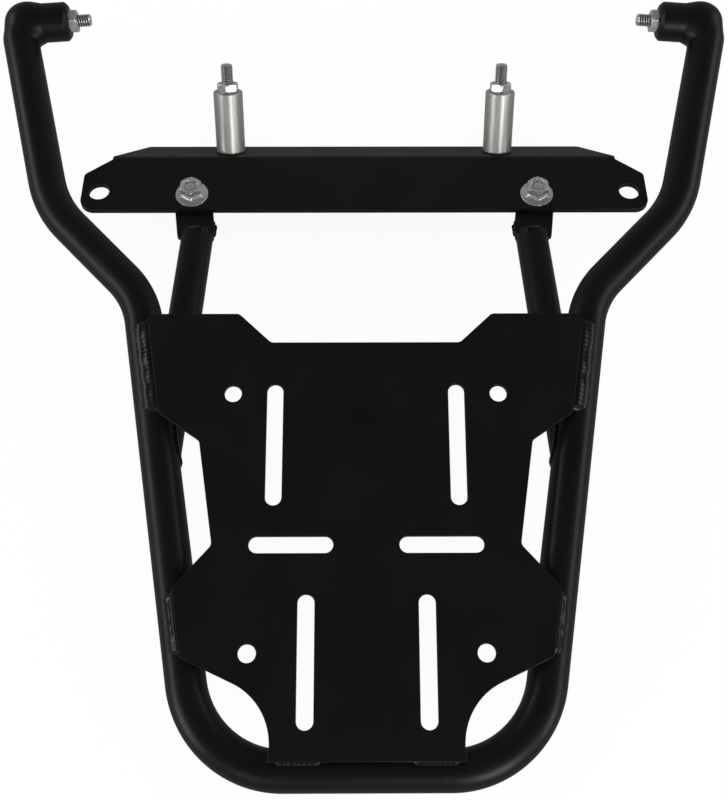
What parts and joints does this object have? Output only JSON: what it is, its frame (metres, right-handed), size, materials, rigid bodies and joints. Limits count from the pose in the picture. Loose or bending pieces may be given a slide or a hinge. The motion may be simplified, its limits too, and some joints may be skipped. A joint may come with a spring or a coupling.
{
  "type": "motorcycle luggage rack",
  "caption": "Bent steel tube frame under a slotted flat carrier plate, with struts down to a folded cross bracket and threaded studs for fixing behind a seat",
  "frame": {"origin": "On the top face of the carrier plate, on the rack's mid-plane, level with the middle of the two crosswise slots.", "axes": "+Z is the outward normal of the carrier plate's top face. +X points to the right, across the rack's mid-plane. +Y points forward, towards the motorcycle's seat and the arms' front ends."},
  "size_m": [0.4578, 0.4772, 0.0824],
  "materials": {
    "coated_tube": "satin black powder coat on steel tube",
    "coated_plate": "satin black powder coat on steel sheet",
    "coated_bracket": "satin black powder coat on folded steel sheet",
    "coated_weld": "glossier black powder coat over weld beads",
    "hardware_steel": "bright zinc-plated steel",
    "turned_steel": "bright turned steel",
    "stud_steel": "zinc-plated threaded steel"
  },
  "bodies": {
    "root": {"main_tube": "coated_tube", "top_plate": "coated_plate", "end_fitting_left": "coated_tube", "end_fitting_right": "coated_tube", "fitting_weld_left": "coated_weld", "fitting_weld_right": "coated_weld", "front_ear_weld_left": "coated_weld", "front_ear_weld_right": "coated_weld", "rear_ear_weld_left": "coated_weld", "rear_ear_weld_right": "coated_weld", "rear_edge_weld_left": "coated_weld", "rear_edge_weld_right": "coated_weld", "strut_left": "coated_tube", "strut_right": "coated_tube", "strut_weld_left": "coated_weld", "strut_weld_right": "coated_weld", "strut_tab_left": "coated_plate", "strut_tab_right": "coated_plate", "tab_weld_left": "coated_weld", "tab_weld_right": "coated_weld", "cross_bracket": "coated_bracket", "bracket_bolt_left": "hardware_steel", "bracket_bolt_right": "hardware_steel", "bracket_washer_left": "hardware_steel", "bracket_washer_right": "hardware_steel", "bracket_nut_left": "hardware_steel", "bracket_nut_right": "hardware_steel", "spacer_left": "turned_steel", "spacer_right": "turned_steel", "spacer_bolt_left": "stud_steel", "spacer_bolt_right": "stud_steel", "spacer_nut_left": "hardware_steel", "spacer_nut_right": "hardware_steel", "side_stud_left": "stud_steel", "side_stud_right": "stud_steel", "side_nut_left": "hardware_steel", "side_nut_right": "hardware_steel"}
  },
  "joints": []
}
